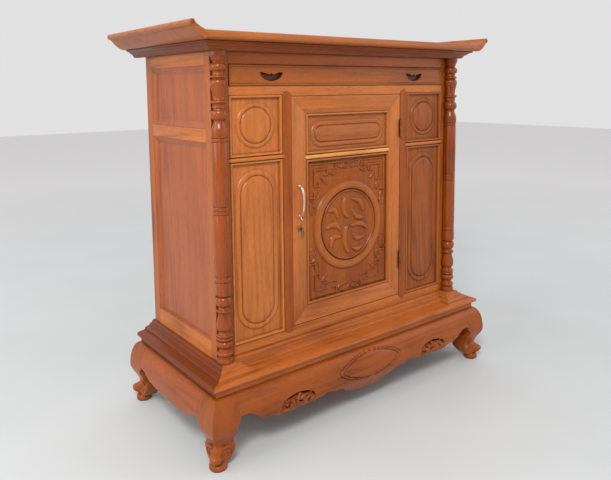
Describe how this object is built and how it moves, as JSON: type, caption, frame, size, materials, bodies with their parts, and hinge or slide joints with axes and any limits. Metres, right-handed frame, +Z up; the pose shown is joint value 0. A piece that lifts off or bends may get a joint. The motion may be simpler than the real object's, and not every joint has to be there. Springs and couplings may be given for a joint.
{
  "type": "household altar cabinet",
  "caption": "Carved hardwood household altar cabinet with an upswept top, turned corner columns, a drawer, a hinged centre door and a stand on cabriole legs.",
  "frame": {"origin": "middle of the footprint on the floor", "axes": "+Z up, the front with door and drawer faces -Y, +X to the viewer's right along the length"},
  "size_m": [1.275, 0.6178, 1.27],
  "materials": {
    "varnished_wood": "satin varnish",
    "plain_wood": "bare sawn wood",
    "brass_fittings": "polished, slightly dulled"
  },
  "bodies": {
    "cabinet": {"apron_back": "plain_wood", "apron_front": "varnished_wood", "apron_left": "varnished_wood", "apron_right": "varnished_wood", "back_board": "plain_wood", "back_post_left": "varnished_wood", "back_post_right": "varnished_wood", "bay_lower_panel_left": "varnished_wood", "bay_lower_panel_right": "varnished_wood", "bay_rail_left": "varnished_wood", "bay_rail_right": "varnished_wood", "bay_upper_panel_left": "varnished_wood", "bay_upper_panel_right": "varnished_wood", "column_left": "varnished_wood", "column_right": "varnished_wood", "cornice_front": "varnished_wood", "cornice_left": "varnished_wood", "cornice_right": "varnished_wood", "cupboard_floor": "plain_wood", "dust_board": "plain_wood", "front_bottom_rail": "varnished_wood", "front_drawer_rail": "varnished_wood", "front_post_left": "varnished_wood", "front_post_right": "varnished_wood", "front_top_rail": "varnished_wood", "hinge_lower": "brass_fittings", "hinge_upper": "brass_fittings", "leg_back_left": "varnished_wood", "leg_back_right": "varnished_wood", "leg_front_left": "varnished_wood", "leg_front_right": "varnished_wood", "mullion_left": "varnished_wood", "mullion_right": "varnished_wood", "plinth_back": "plain_wood", "plinth_front": "varnished_wood", "plinth_left": "varnished_wood", "plinth_right": "varnished_wood", "side_bottom_rail_left": "varnished_wood", "side_bottom_rail_right": "varnished_wood", "side_lower_panel_left": "varnished_wood", "side_lower_panel_right": "varnished_wood", "side_middle_rail_left": "varnished_wood", "side_middle_rail_right": "varnished_wood", "side_top_rail_left": "varnished_wood", "side_top_rail_right": "varnished_wood", "side_upper_panel_left": "varnished_wood", "side_upper_panel_right": "varnished_wood", "top_board": "varnished_wood"},
    "door": {"door_frame": "varnished_wood", "door_lower_panel": "varnished_wood", "door_upper_panel": "varnished_wood", "handle": "brass_fittings", "lock": "brass_fittings", "key": "brass_fittings"},
    "drawer": {"drawer_front": "varnished_wood", "drawer_side_left": "plain_wood", "drawer_side_right": "plain_wood", "drawer_back": "plain_wood", "drawer_bottom": "plain_wood"}
  },
  "joints": [
    {"name": "door_hinge", "type": "hinge", "parent": "cabinet", "child": "door", "pos_m": [0.2448, -0.1959, 0.687], "axis": [0, 0, 1], "range_deg": [0, 110]},
    {"name": "drawer_slide", "type": "slide", "parent": "cabinet", "child": "drawer", "axis": [0, -1, 0], "range_m": [0, 0.3]}
  ]
}
